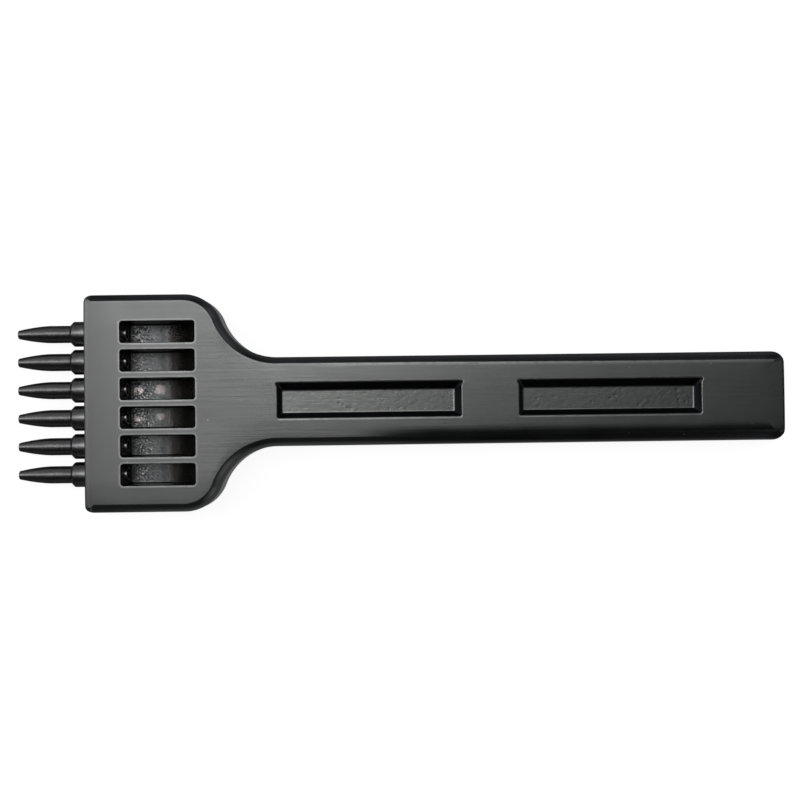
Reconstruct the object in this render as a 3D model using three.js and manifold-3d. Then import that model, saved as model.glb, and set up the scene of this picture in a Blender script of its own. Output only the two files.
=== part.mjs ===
// Six-tooth row punch for leather: a flat one-piece steel iron with six hollow punch tubes.
// Millimetres, +Z up. The iron lies on its back face, teeth towards -X and striking end towards +X.
// The origin is the bottom centre of the whole tool.
import * as THREE from 'three';
import Module from 'manifold-3d';
import { mergeVertices } from 'three/addons/utils/BufferGeometryUtils.js';

// Teeth
const TOOTH_COUNT = 6;
const TOOTH_PITCH = 5;
const TOOTH_REACH = 12.4; // from the front of the head to the cutting edge
const TIP_RADIUS = 0.75;
const TIP_LIP = 0.15; // rounding of the cutting edge
const CUT_BORE_RADIUS = 0.6; // bore just behind the cutting edge
const CUT_BORE_LENGTH = 1.4;
const SLUG_BORE_RADIUS = 0.9; // wider bore that lets the slugs slide back
const BARREL_RADIUS = 1.54;
const TAPER_LENGTH = 5.9;
const COLLAR_RADIUS = 2.23;
const COLLAR_LENGTH = 2.95;
const COLLAR_BEVEL = 0.5;
const SHANK_RADIUS = 1.25;
const SHANK_PROUD = 0.35; // how far the pressed-in shank stands out into its slug pocket
const SEAT_GAP = 0.05; // modelling clearance of the pressed fit

// Iron
const BODY_LENGTH = 123.1; // front of the head to the striking end
const BODY_THICKNESS = 8.5;
const AXIS_DEPTH = 4; // tooth axis below the front face
const HEAD_MARGIN = 6.65; // outer tooth axis to the side of the head
const HANDLE_WIDTH = 15.7;
const HEAD_LENGTH = 17.4; // straight side of the head, up to the shoulder
const SHOULDER_CONVEX_RADIUS = 6.9;
const SHOULDER_CONCAVE_RADIUS = 10.7;
const FRONT_CORNER_RADIUS = 1.35;
const END_CORNER_RADIUS = 2.05;
const EDGE_CHAMFER = 1.25;

// Slug pockets, one behind each tooth
const POCKET_START = 6.5;
const POCKET_LENGTH = 13;
const POCKET_WIDTH = 3.75;
const POCKET_CORNER_RADIUS = 0.45;
const POCKET_DEPTH = 7.4;
const POCKET_FLOOR_LENGTH = 6.3; // flat floor, before the ramp that lifts the slugs out
const POCKET_KNEE = { run: 2.6, rise: 1.8 }; // where the ramp turns steeper
const POCKET_REAR_DEPTH = 0.9; // depth left at the top of the ramp

// Recesses in both faces of the handle
const RECESS_STARTS = [34, 76.5];
const RECESS_LENGTH = 32;
const RECESS_WIDTH = 6.2;
const RECESS_DEPTH = 1.5;
const RECESS_DRAFT = 0.9; // how far each sloping wall runs inwards

// Facets
const TUBE_SEGMENTS = 24;
const TAPER_STEPS = 5;
const CORNER_STEPS = 4;
const SHOULDER_STEPS = 8;
const OVERSHOOT = 1; // how far a cutting solid stands out of the face it cuts

const headWidth = (TOOTH_COUNT - 1) * TOOTH_PITCH + 2 * HEAD_MARGIN;
const toothAxisHeight = BODY_THICKNESS - AXIS_DEPTH;

const wasm = await Module();
wasm.setup();

// A closed three.js geometry as a manifold solid.
function toSolid(geometry) {
  const bare = geometry.clone();
  bare.deleteAttribute('normal');
  bare.deleteAttribute('uv');
  const merged = mergeVertices(bare, 1e-5);
  const vertProperties = new Float32Array(merged.attributes.position.array);
  const triVerts = new Uint32Array(merged.index.array);
  return new wasm.Manifold(new wasm.Mesh({ numProp: 3, vertProperties, triVerts }));
}

function toGeometry(solid) {
  const mesh = solid.getMesh();
  const geometry = new THREE.BufferGeometry();
  geometry.setAttribute('position', new THREE.BufferAttribute(mesh.vertProperties, 3));
  geometry.setIndex(new THREE.BufferAttribute(mesh.triVerts, 1));
  return geometry;
}

// Points on an arc, both ends included; angles in radians, counter-clockwise when `to` is larger.
function arcPoints(centreX, centreY, radius, from, to, steps) {
  const points = [];
  for (let i = 0; i <= steps; i += 1) {
    const angle = from + ((to - from) * i) / steps;
    points.push(new THREE.Vector2(
      centreX + radius * Math.cos(angle),
      centreY + radius * Math.sin(angle),
    ));
  }
  return points;
}

// The +Y half of the iron's outline, from the front face round to the striking end.
function halfOutline() {
  const headSide = headWidth / 2;
  const handleSide = HANDLE_WIDTH / 2;
  const drop = headSide - handleSide;
  const radii = SHOULDER_CONVEX_RADIUS + SHOULDER_CONCAVE_RADIUS;
  const run = Math.sqrt(2 * radii * drop - drop * drop);
  const sweep = Math.acos((radii - drop) / radii);
  const quarter = Math.PI / 2;
  const front = arcPoints(
    FRONT_CORNER_RADIUS, headSide - FRONT_CORNER_RADIUS, FRONT_CORNER_RADIUS,
    Math.PI, quarter, CORNER_STEPS,
  );
  const convex = arcPoints(
    HEAD_LENGTH, headSide - SHOULDER_CONVEX_RADIUS, SHOULDER_CONVEX_RADIUS,
    quarter, quarter - sweep, SHOULDER_STEPS,
  );
  const concave = arcPoints(
    HEAD_LENGTH + run, handleSide + SHOULDER_CONCAVE_RADIUS, SHOULDER_CONCAVE_RADIUS,
    -quarter - sweep, -quarter, SHOULDER_STEPS,
  );
  const end = arcPoints(
    BODY_LENGTH - END_CORNER_RADIUS, handleSide - END_CORNER_RADIUS, END_CORNER_RADIUS,
    quarter, 0, CORNER_STEPS,
  );
  return [...front, ...convex, ...concave.slice(1), ...end];
}

// The chamfered plate that the iron is cut from.
function plate() {
  const upper = halfOutline();
  const lower = upper.map((p) => new THREE.Vector2(p.x, -p.y)).reverse();
  const shape = new THREE.Shape([...upper, ...lower]);
  const geometry = new THREE.ExtrudeGeometry(shape, {
    depth: BODY_THICKNESS - 2 * EDGE_CHAMFER,
    bevelThickness: EDGE_CHAMFER,
    bevelSize: EDGE_CHAMFER,
    bevelOffset: -EDGE_CHAMFER,
    bevelSegments: 1,
  });
  geometry.translate(0, 0, EDGE_CHAMFER);
  return toSolid(geometry);
}

// Slug pocket at Y = 0: a round-cornered slot, cut down to its side profile with the ramp.
function slugPocket() {
  const halfWidth = POCKET_WIDTH / 2;
  const r = POCKET_CORNER_RADIUS;
  const rear = POCKET_START + POCKET_LENGTH;
  const quarter = Math.PI / 2;
  const corners = [
    [rear - r, halfWidth - r],
    [POCKET_START + r, halfWidth - r],
    [POCKET_START + r, r - halfWidth],
    [rear - r, r - halfWidth],
  ];
  const plan = corners.flatMap(
    ([x, y], i) => arcPoints(x, y, r, i * quarter, (i + 1) * quarter, CORNER_STEPS),
  );
  const slot = new THREE.ExtrudeGeometry(new THREE.Shape(plan), {
    depth: POCKET_DEPTH + OVERSHOOT,
    bevelEnabled: false,
  });
  slot.translate(0, 0, BODY_THICKNESS - POCKET_DEPTH);

  const floor = BODY_THICKNESS - POCKET_DEPTH;
  const top = BODY_THICKNESS + 2 * OVERSHOOT;
  const side = new THREE.Shape();
  side.moveTo(POCKET_START - OVERSHOOT, floor);
  side.lineTo(POCKET_START + POCKET_FLOOR_LENGTH, floor);
  side.lineTo(POCKET_START + POCKET_FLOOR_LENGTH + POCKET_KNEE.run, floor + POCKET_KNEE.rise);
  side.lineTo(rear, BODY_THICKNESS - POCKET_REAR_DEPTH);
  side.lineTo(rear + OVERSHOOT, BODY_THICKNESS - POCKET_REAR_DEPTH);
  side.lineTo(rear + OVERSHOOT, top);
  side.lineTo(POCKET_START - OVERSHOOT, top);
  const profile = new THREE.ExtrudeGeometry(side, {
    depth: POCKET_WIDTH + 2 * OVERSHOOT,
    bevelEnabled: false,
  });
  profile.rotateX(Math.PI / 2);
  profile.translate(0, halfWidth + OVERSHOOT, 0);
  return toSolid(slot).intersect(toSolid(profile));
}

// The bore at Y = 0 that a tube's shank is pressed through, from the front face into the pocket.
function toothSocket() {
  const radius = SHANK_RADIUS + SEAT_GAP;
  const length = POCKET_START + 2 * OVERSHOOT;
  const geometry = new THREE.CylinderGeometry(radius, radius, length, TUBE_SEGMENTS);
  geometry.rotateZ(Math.PI / 2);
  geometry.translate(POCKET_START / 2, 0, toothAxisHeight);
  return toSolid(geometry);
}

// Drafted recess in the upper face; its walls slope inwards down to a flat floor.
function handleRecess(start) {
  const left = start + RECESS_DRAFT;
  const right = start + RECESS_LENGTH - RECESS_DRAFT;
  const side = RECESS_WIDTH / 2 - RECESS_DRAFT;
  const floor = new THREE.Shape();
  floor.moveTo(left, -side);
  floor.lineTo(right, -side);
  floor.lineTo(right, side);
  floor.lineTo(left, side);
  const geometry = new THREE.ExtrudeGeometry(floor, {
    depth: OVERSHOOT,
    bevelThickness: RECESS_DEPTH,
    bevelSize: RECESS_DRAFT,
    bevelSegments: 1,
  });
  geometry.translate(0, 0, BODY_THICKNESS);
  return toSolid(geometry);
}

// The same recess in the back face.
function backRecess(start) {
  return handleRecess(start).rotate([180, 0, 0]).translate([0, 0, BODY_THICKNESS]);
}

// Heights across the head, one for each tooth.
function toothRows() {
  return Array.from({ length: TOOTH_COUNT }, (_, i) => (i - (TOOTH_COUNT - 1) / 2) * TOOTH_PITCH);
}

function ironBody() {
  let iron = plate();
  for (const y of toothRows()) {
    iron = iron.subtract(slugPocket().translate([0, y, 0]));
    iron = iron.subtract(toothSocket().translate([0, y, 0]));
  }
  for (const start of RECESS_STARTS) {
    iron = iron.subtract(handleRecess(start));
    iron = iron.subtract(backRecess(start));
  }
  const material = new THREE.MeshStandardMaterial({
    color: 0x34353a,
    roughness: 0.42,
    metalness: 0.75,
    flatShading: true,
  });
  const mesh = new THREE.Mesh(toGeometry(iron), material);
  mesh.name = 'iron_body';
  return mesh;
}

// Outer radius of a tube at a distance behind the cutting edge: an ogive that meets the barrel.
function taperRadius(distance) {
  const along = 1 - distance / TAPER_LENGTH;
  return BARREL_RADIUS - (BARREL_RADIUS - TIP_RADIUS) * Math.pow(along, 1.7);
}

// One hollow punch tube, turned in one piece. Lathe +Y is the cutting direction and Y = 0 the
// front face of the head; the profile runs round the wall's whole section and closes on itself.
function punchTube(number) {
  const tip = TOOTH_REACH;
  const collarBack = SEAT_GAP;
  const collarFront = COLLAR_LENGTH;
  const shankEnd = -POCKET_START - SHANK_PROUD;
  const section = [
    new THREE.Vector2(SLUG_BORE_RADIUS, shankEnd),
    new THREE.Vector2(SHANK_RADIUS, shankEnd),
    new THREE.Vector2(SHANK_RADIUS, collarBack),
    new THREE.Vector2(COLLAR_RADIUS, collarBack),
    new THREE.Vector2(COLLAR_RADIUS, collarFront - COLLAR_BEVEL),
    new THREE.Vector2(COLLAR_RADIUS - COLLAR_BEVEL, collarFront),
    new THREE.Vector2(BARREL_RADIUS, collarFront),
  ];
  for (let i = TAPER_STEPS; i > 0; i -= 1) {
    const distance = (TAPER_LENGTH * i) / TAPER_STEPS;
    section.push(new THREE.Vector2(taperRadius(distance), tip - distance));
  }
  section.push(
    new THREE.Vector2(TIP_RADIUS, tip - TIP_LIP),
    new THREE.Vector2(TIP_RADIUS - TIP_LIP / 2, tip),
    new THREE.Vector2(CUT_BORE_RADIUS, tip),
    new THREE.Vector2(CUT_BORE_RADIUS, tip - CUT_BORE_LENGTH),
    new THREE.Vector2(SLUG_BORE_RADIUS, tip - 2 * CUT_BORE_LENGTH),
    section[0],
  );
  const material = new THREE.MeshStandardMaterial({
    color: 0x3a3b3f,
    roughness: 0.34,
    metalness: 0.8,
  });
  const mesh = new THREE.Mesh(new THREE.LatheGeometry(section, TUBE_SEGMENTS), material);
  mesh.name = `punch_tube_${number}`;
  mesh.rotation.z = Math.PI / 2;
  return mesh;
}

// Everything is placed from the front face of the head, then centred along X.
const tool = new THREE.Group();
tool.position.x = (TOOTH_REACH - BODY_LENGTH) / 2;
tool.add(ironBody());
toothRows().forEach((y, i) => {
  const tube = punchTube(i + 1);
  tube.position.set(0, y, toothAxisHeight);
  tool.add(tube);
});

export default tool;
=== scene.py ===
"""Looks of a six-tooth row punch: a black coated iron and its hollow punch tubes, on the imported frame.

Shapes are worked out in millimetres, in the row frame turned so that x counts from the front face of
the head: the teeth point towards -x, the handle runs towards +x, and z is the height over the back face.
"""

import math
import random

import bmesh
import bpy
from mathutils import Matrix, Vector, kdtree, noise
from mathutils.geometry import delaunay_2d_cdt


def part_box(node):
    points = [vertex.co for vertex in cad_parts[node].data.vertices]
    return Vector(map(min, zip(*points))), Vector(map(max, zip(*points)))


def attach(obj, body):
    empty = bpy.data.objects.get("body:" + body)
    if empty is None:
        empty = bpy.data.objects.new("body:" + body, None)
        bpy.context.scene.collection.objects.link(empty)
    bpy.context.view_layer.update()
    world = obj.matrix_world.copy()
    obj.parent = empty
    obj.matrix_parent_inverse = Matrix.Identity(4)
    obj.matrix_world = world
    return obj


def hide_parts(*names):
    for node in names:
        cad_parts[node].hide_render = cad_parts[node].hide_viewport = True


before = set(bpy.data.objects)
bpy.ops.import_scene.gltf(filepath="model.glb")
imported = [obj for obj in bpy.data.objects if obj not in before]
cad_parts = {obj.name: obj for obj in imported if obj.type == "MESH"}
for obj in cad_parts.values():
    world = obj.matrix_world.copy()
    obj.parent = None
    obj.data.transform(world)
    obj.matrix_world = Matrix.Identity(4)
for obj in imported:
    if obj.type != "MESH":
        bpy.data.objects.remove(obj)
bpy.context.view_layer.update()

MM = 0.001


def box_mm(node):
    low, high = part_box(node)
    return low / MM, high / MM


# Sizes that the frame gives
TUBES = sorted(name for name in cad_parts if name.startswith("punch_tube"))
BODY_LOW, BODY_HIGH = box_mm("iron_body")
TUBE_LOW, TUBE_HIGH = box_mm(TUBES[0])
FRONT_X = BODY_LOW.x
BODY_LENGTH, HEAD_WIDTH, THICKNESS = BODY_HIGH - BODY_LOW
ROWS = [sum(corner.y for corner in box_mm(name)) / 2 for name in TUBES]
AXIS_Z = (TUBE_LOW.z + TUBE_HIGH.z) / 2
TOOTH_REACH = FRONT_X - TUBE_LOW.x
SHANK_END = TUBE_HIGH.x - FRONT_X
COLLAR_R = (TUBE_HIGH.z - TUBE_LOW.z) / 2

# Iron
HANDLE_WIDTH = 15.7
HEAD_LENGTH = 17.4
CONVEX_R = 6.9
CONCAVE_R = 10.7
FRONT_CORNER_R = 1.35
END_CORNER_R = 2.05
TIGHTEST_R = 0.12
# Points along the stretches of half the outline, from the middle of the front round to the struck end
FRONT_STEPS, FRONT_CORNER_STEPS, SIDE_STEPS, CONVEX_STEPS = 20, 8, 16, 18
CONCAVE_STEPS, HANDLE_STEPS, END_CORNER_STEPS, END_STEPS = 20, 80, 12, 8

# The iron's edges
FRONT_CHAMFER = 0.6  # width of the hand-ground chamfer: it differs from side to side
NECK_CHAMFER = 1.15
UPPER_CHAMFER = 1.42
LOWER_CHAMFER = 1.44
END_CHAMFER = 0.35
UPPER_WIDENING = (40, 110)  # the upper chamfer widens over this stretch
SIDE_BLEND = 3  # the two sides' chamfers pass into each other this far from the middle
FRONT_TURN = 1.3  # the front edge passes into the sides over this length
WIDTH_TURN = 0.9  # the chamfer keeps its width almost round the corners of the struck end
DROP_TURN = 2.4  # but gets shallow from further back
CHAMFER_BELLY = 0.06  # how far the middle of the chamfer stands out
LOWER_BELLY = 0.2  # and along the lower side, where it's nearly a round
EDGE_CUT = 0.17  # rounding of the chamfer's edges, cut back along both sides
WORN_INNER_CUT = 0.4  # the same at the worn lower edge of the handle, towards the face
WORN_OUTER_CUT = 0.6  # and towards the side
ROLLED_INSET = 0.12  # the chamfer of the front edge is rolled over: its middle stands out to here
ROLLED_DROP = 0.2
EDGE_STEPS = 5
RIPPLE = 0.03  # unevenness of the chamfer's inner edge
CROWN_REACH = 5.95  # both faces are dressed by hand and sink a little towards their edges
CROWN_HEIGHT = 0.2
END_CROWN_HEIGHT = 0.08
WORN_REACH = 2.2  # the worn lower edge rolls over further, inside the chamfer
WORN_HEIGHT = 0.3
WORN_START = (46, 62)  # the wear begins over this stretch of the handle
WORN_SIDE = (5.6, 7.1)  # and over these distances from the middle
LOWER_SIDE = (2, 6)  # the lower side's own shape comes in over these distances from the middle
END_CORNER_START = (2.6, 1.2)  # a corner of the struck end comes in over these distances from the end
END_CORNER_SIDE = (5.8, 6.8)  # and from the middle
RINGS = (2.2, 1.8, 1.4, 1.05, 0.75, 0.45)  # where extra rows of points lie inside the chamfer
FULL_RINGS = (34, 46)  # they lie half as far in before this stretch of the handle, and in full after it
CHAMFER_DARKNESS = 0.68  # painted shade on the chamfer
LOWER_PALENESS = 0.3  # but less painted shade along the lower side, where the edge isn't worn
# Shares of painted highlight, painted shade on the chamfer and painted shade beside the worn edge in the
# rows of points, from the inside of an edge to the middle of the side
HIGHLIGHT_SHARES = [0, 0, 0, 0, 0, 0.4, 1, 1, 0.5] + [0] * 15
CHAMFER_SHADE_SHARES = [0] * 8 + [0.3, 0.7] + [1] * 12 + [0.6, 0.2]
WORN_EDGE_SHADE_SHARES = [0, 0.1, 0.3, 0.5, 0.65, 0.7, 0.7, 0.7, 0.7, 0.7] + [0.6] * 14
HIGHLIGHT_RING_WIDTH = 0.2  # width of the ring of painted highlight round each pocket
HIGHLIGHT_RING_FADE = 0.1

# Slug pockets
POCKET_START = 6.5
POCKET_LENGTH = 13.0
POCKET_WIDTH = 3.75
POCKET_CORNER_R = 0.45
POCKET_FLOOR = THICKNESS - 7.4
FLAT_FLOOR_END = POCKET_START + 6.3
RAMP_TOP = THICKNESS - 0.9
FRONT_RISE = 0.22  # the cutter left the floor curving up towards the front wall
RISE_LENGTH = 2.6
RAMP_LEAD = 1.3  # the ramp begins this far ahead of the knee, and gently
RAMP_POWER = 2.3
RAMP_PAINTED_LIGHT = 0.2  # how much paler the ramp is painted, as painted light on it
WALL_SHADE = (0.45, 0.25)  # painted shade that makes the pockets dead black inside, and how much that varies
EDGE_BREAK = 0.12
FLOOR_FILLET = 0.25
POCKET_STEPS = (26, 8, 6)  # points along a long side, a short side and a corner
BEVEL_STEPS = 4
FILLET_STEPS = 4
POCKET_GRID = 0.14  # spacing of the points inside a pocket's floor, and how far they keep from its rim
POCKET_MARGIN = 0.1
POCKET_WAVE = 0.018  # how far the mouth's sides wander
FLOOR_GRAIN = 0.012  # heights of the milled grain, the scrape marks and the lumps of grit
SCRAPE_HEIGHT = 0.02
LUMP_HEIGHT = 0.075
GRIT_MIDDLE = POCKET_START + 1.2
GRIT_REACH = 2.6
GRITTY_ROWS = (0.8, 0.45, 1.0, 1.0, 0.75, 0.55)  # how gritty each floor is, from the top row
SPOTS = {  # pale spots of painted reflection on the pocket floors: row from the top, then x, y, half sizes and strength
    0: ((7.9, -0.3, 0.5, 0.5, 0.35),),
    2: ((7.9, -0.1, 0.95, 0.9, 1.0), (12.0, -0.05, 1.2, 0.95, 0.36)),
    3: ((7.8, -0.1, 0.85, 0.85, 0.9), (11.9, 0.15, 0.9, 0.7, 0.3)),
}

# Handle recesses
RECESS_ENDS = ((33.9, 66.1), (76.3, 108.3))
RECESS_END_DRAFTS = ((0.68, 1.15), (0.8, 0.95))  # left and right end of each
RECESS_LOW, RECESS_HIGH = -2.84, 3.18  # the moulder set them a little off the middle
RECESS_LOW_DRAFT, RECESS_HIGH_DRAFT = 0.84, 1.23
RECESS_DEPTH = 1.5
RECESS_END_SOFTNESS = 0.09  # polishing has rounded the mouth, most along its sides
RECESS_SIDE_SOFTNESS = 0.2
RECESS_EARS = (0.05, 0.35)  # how far the lower and upper side of the mouth run on past its ends
EAR_LENGTH = 4
RECESS_STEPS = (90, 14, 5)
RECESS_GRID = 0.17
RECESS_MARGIN = 0.12
RECESS_GRAIN = 0.008  # heights of the coarse and the fine unevenness of a floor
RECESS_FINE_GRAIN = 0.005
PIT_COUNT = 34
PIT_RADII = (0.1, 0.2)
PIT_DEPTHS = (0.012, 0.04)
FACE_GRID = 1.6  # spacing of the points inside the two flat faces, and how far they keep from the edges
FACE_MARGIN = 0.7

# Punch tubes
BARREL_R = 1.54
TIP_R = 0.75
TAPER_LENGTH = 5.9
COLLAR_LENGTH = 2.95
COLLAR_BEVEL = 0.5
COLLAR_BACK = 0.05
SHANK_R = 1.25
STUB_TAPER = 0.045  # the shank narrows where it stands out into the pocket
SOCKET_R = 1.3
SLUG_BORE_R = 0.9
CUT_BORE_R = 0.6
CUT_BORE_LENGTH = 1.4
OGIVE_STEPS = 28
OGIVE_POWER = 1.7
LIP_CUT = 0.13  # rounding of the cutting edge
TUBE_CUTS = (0.06, 0.02, 0.02, 0.1, 0.12, 0.1, 0.08)  # rounding of the other corners, from the rear
TUBE_SEGMENTS = 96
BARE_IN_WALL = 0.4  # the coating ends this far before the pocket
SOCKET_SEGMENTS = 48


# ---------------------------------------------------------------- plane curves

def line(start, end, steps):
    """Points on a straight line, both ends included."""
    a, b = Vector(start), Vector(end)
    return [a.lerp(b, i / steps) for i in range(steps + 1)]


def arc(centre, radius, start, end, steps):
    """Points on an arc, both ends included, angles in degrees."""
    angles = [math.radians(start + (end - start) * i / steps) for i in range(steps + 1)]
    return [Vector((centre[0] + radius * math.cos(t), centre[1] + radius * math.sin(t))) for t in angles]


def chain(*runs):
    """One run out of several that share their end points."""
    points = list(runs[0])
    for run in runs[1:]:
        points += run[1:]
    return points


def soften(points, cuts, steps=4):
    """Rounds the inner corners of an open polyline, each cut back by its own length on both sides."""
    rounded = [points[0]]
    for before, corner, after, cut in zip(points, points[1:], points[2:], cuts):
        a = corner + (before - corner).normalized() * cut
        b = corner + (after - corner).normalized() * cut
        for i in range(steps + 1):
            s = i / steps
            rounded.append((1 - s) ** 2 * a + 2 * s * (1 - s) * corner + s * s * b)
    rounded.append(points[-1])
    return rounded


def slot_loop(left, right, low, high, radius, steps):
    """A rectangle with round corners. It starts at the left side; the steps give its number of points."""
    long_steps, short_steps, corner_steps = steps
    x0, x1, y0, y1 = left + radius, right - radius, low + radius, high - radius
    loop = chain(
        line((left, y1), (left, y0), short_steps),
        arc((x0, y0), radius, 180, 270, corner_steps),
        line((x0, low), (x1, low), long_steps),
        arc((x1, y0), radius, 270, 360, corner_steps),
        line((right, y0), (right, y1), short_steps),
        arc((x1, y1), radius, 0, 90, corner_steps),
        line((x1, high), (x0, high), long_steps),
        arc((x0, y1), radius, 90, 180, corner_steps),
    )
    return loop[:-1]


def inside(point, loop):
    """True if the point is inside the closed loop."""
    hit = False
    x, y = point
    for a, b in zip(loop, loop[1:] + loop[:1]):
        if (a.y > y) != (b.y > y) and x < a.x + (b.x - a.x) * (y - a.y) / (b.y - a.y):
            hit = not hit
    return hit


def filler_points(loops, spacing, margin):
    """A triangular grid of points inside loops[0], outside the other loops, and clear of all of them."""
    samples = []
    for loop in loops:
        for a, b in zip(loop, loop[1:] + loop[:1]):
            samples += line(a, b, math.ceil((b - a).length / margin))
    edge = kdtree.KDTree(len(samples))
    for i, sample in enumerate(samples):
        edge.insert(sample.to_3d(), i)
    edge.balance()
    low = Vector((min(p.x for p in loops[0]), min(p.y for p in loops[0])))
    high = Vector((max(p.x for p in loops[0]), max(p.y for p in loops[0])))
    row_height = spacing * math.sqrt(3) / 2
    points = []
    for row in range(1, int((high.y - low.y) / row_height) + 1):
        for column in range(int((high.x - low.x) / spacing) + 1):
            point = Vector((low.x + (column + row % 2 / 2) * spacing, low.y + row * row_height))
            if edge.find(point.to_3d())[2] < margin or not inside(point, loops[0]):
                continue
            if not any(inside(point, hole) for hole in loops[1:]):
                points.append(point)
    return points


# ---------------------------------------------------------------- shells

# Zones: painted highlight along edges, cast hollows, bare steel on the tubes and painted light on pocket
# floors,
# painted shade in the hollows and on the chamfers, and grit with painted glints.
ZONES = ("edge", "cast", "bare", "matte", "grit")


class Shell:
    """Faces of one closed surface, in millimetres. Points that fall together are joined at the end."""

    def __init__(self):
        self.mesh = bmesh.new()
        self.zones = {name: self.mesh.verts.layers.float.new(name) for name in ZONES}

    def row(self, points, **zones):
        """Adds the points, each a corner of the surface, with how much of each zone they're in.

        An amount is a number, or a function of the point."""
        verts = [self.mesh.verts.new(point) for point in points]
        for name, amount in zones.items():
            for vert in verts:
                vert[self.zones[name]] = amount(vert.co) if callable(amount) else amount
        return verts

    def loft(self, rows, closed=True, skip=()):
        """Quads between each row of vertices and the next; skip leaves out spans by their index."""
        count = len(rows[0])
        for lower, upper in zip(rows, rows[1:]):
            for i in range(count if closed else count - 1):
                if i not in skip:
                    j = (i + 1) % count
                    self.mesh.faces.new((lower[i], lower[j], upper[j], upper[i]))

    def patch(self, loops, lift, fillers=(), **zones):
        """Triangles inside loops[0] and outside the other loops. lift turns a 2-D point into a 3-D one."""
        points, edges = [], []
        for loop in loops:
            first, count = len(points), len(loop)
            points += loop
            edges += [(first + i, first + (i + 1) % count) for i in range(count)]
        points += fillers
        flat, _, triangles, *_ = delaunay_2d_cdt(points, edges, [], 1, 1e-6)
        verts = self.row([lift(point) for point in flat], **zones)
        for corners in triangles:
            middle = sum((flat[i] for i in corners), Vector((0, 0))) / len(corners)
            if not any(inside(middle, hole) for hole in loops[1:]):
                self.mesh.faces.new([verts[i] for i in corners])

    def shape(self, move):
        """Moves every point by a function of its place."""
        for vert in self.mesh.verts:
            vert.co = move(vert.co)

    def finish(self, name, material, sharp=40):
        """The closed mesh as a piece of the object, in metres and in the row frame."""
        bmesh.ops.remove_doubles(self.mesh, verts=self.mesh.verts, dist=2e-3)
        loose = [vert for vert in self.mesh.verts if not vert.link_faces]
        bmesh.ops.delete(self.mesh, geom=loose, context="VERTS")
        bmesh.ops.recalc_face_normals(self.mesh, faces=self.mesh.faces)
        for vert in self.mesh.verts:
            vert.co = Vector((vert.co.x + FRONT_X, vert.co.y, vert.co.z)) * MM
        open_edges = [edge for edge in self.mesh.edges if len(edge.link_faces) != 2]
        if open_edges:
            raise ValueError(f"{name} has {len(open_edges)} open edges near {open_edges[0].verts[0].co / MM}")
        data = bpy.data.meshes.new(name)
        self.mesh.to_mesh(data)
        self.mesh.free()
        data.shade_smooth()
        data.set_sharp_from_angle(angle=math.radians(sharp))
        data.materials.append(material)
        piece = bpy.data.objects.new(name, data)
        bpy.context.scene.collection.objects.link(piece)
        weighted = piece.modifiers.new("weighted_normals", "WEIGHTED_NORMAL")
        weighted.keep_sharp = True
        weighted.weight = 90
        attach(piece, "root")
        return piece


# ---------------------------------------------------------------- the iron

def shoulder():
    """Run along x and sweep in degrees of the two arcs that join the head to the handle."""
    drop = (HEAD_WIDTH - HANDLE_WIDTH) / 2
    radii = CONVEX_R + CONCAVE_R
    return math.sqrt(2 * radii * drop - drop * drop), math.degrees(math.acos((radii - drop) / radii))


def outline(inset):
    """The iron's outline moved inwards, with the same number of points at every inset."""
    run, sweep = shoulder()
    head, handle = HEAD_WIDTH / 2 - inset, HANDLE_WIDTH / 2 - inset
    front_r = max(FRONT_CORNER_R - inset, TIGHTEST_R)
    end_r = max(END_CORNER_R - inset, TIGHTEST_R)
    convex, concave = CONVEX_R - inset, CONCAVE_R + inset
    neck, end = HEAD_LENGTH + run, BODY_LENGTH - inset
    half = chain(
        line((inset, 0), (inset, head - front_r), FRONT_STEPS),
        arc((inset + front_r, head - front_r), front_r, 180, 90, FRONT_CORNER_STEPS),
        line((inset + front_r, head), (HEAD_LENGTH, head), SIDE_STEPS),
        arc((HEAD_LENGTH, head - convex), convex, 90, 90 - sweep, CONVEX_STEPS),
        arc((neck, handle + concave), concave, -90 - sweep, -90, CONCAVE_STEPS),
        line((neck, handle), (end - end_r, handle), HANDLE_STEPS),
        arc((end - end_r, handle - end_r), end_r, 90, 0, END_CORNER_STEPS),
        line((end, handle - end_r), (end, 0), END_STEPS),
    )
    mirrored = [Vector((point.x, -point.y)) for point in reversed(half[1:-1])]
    return half + mirrored


# Between the insets where a corner gets tightest, every point of the outline moves straight
DEEPEST_INSET = 4
KNOT_INSETS = (0, FRONT_CORNER_R - TIGHTEST_R, END_CORNER_R - TIGHTEST_R, DEEPEST_INSET)
OUTLINE_KNOTS = [(inset, outline(inset)) for inset in KNOT_INSETS]
EDGE = OUTLINE_KNOTS[0][1]


def inset_point(k, inset):
    """Point k of the outline moved inwards."""
    for (start, a), (end, b) in zip(OUTLINE_KNOTS, OUTLINE_KNOTS[1:]):
        if inset <= end:
            return a[k].lerp(b[k], (inset - start) / (end - start))


def clamp(value, low=0.0, high=1.0):
    return max(low, min(high, value))


def smooth_step(value, start, end):
    t = clamp((value - start) / (end - start))
    return t * t * (3 - 2 * t)


def between(low, high, share):
    return low + (high - low) * share


def chamfer_size(at, turn):
    """Size of the chamfer at a point of the outline; over the length turn it takes on the end's own size."""
    upper = between(NECK_CHAMFER, UPPER_CHAMFER, smooth_step(at.x, *UPPER_WIDENING))
    size = between(LOWER_CHAMFER, upper, smooth_step(at.y, -SIDE_BLEND, SIDE_BLEND))
    size = between(size, END_CHAMFER, smooth_step(at.x, BODY_LENGTH - turn, BODY_LENGTH - 0.1))
    return between(FRONT_CHAMFER, size, smooth_step(at.x, 0, FRONT_TURN))


def worn_edge(at):
    """How far the lower edge of the handle is worn round, at a point of the outline."""
    return smooth_step(at.x, *WORN_START) * smooth_step(-at.y, *WORN_SIDE)


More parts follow.
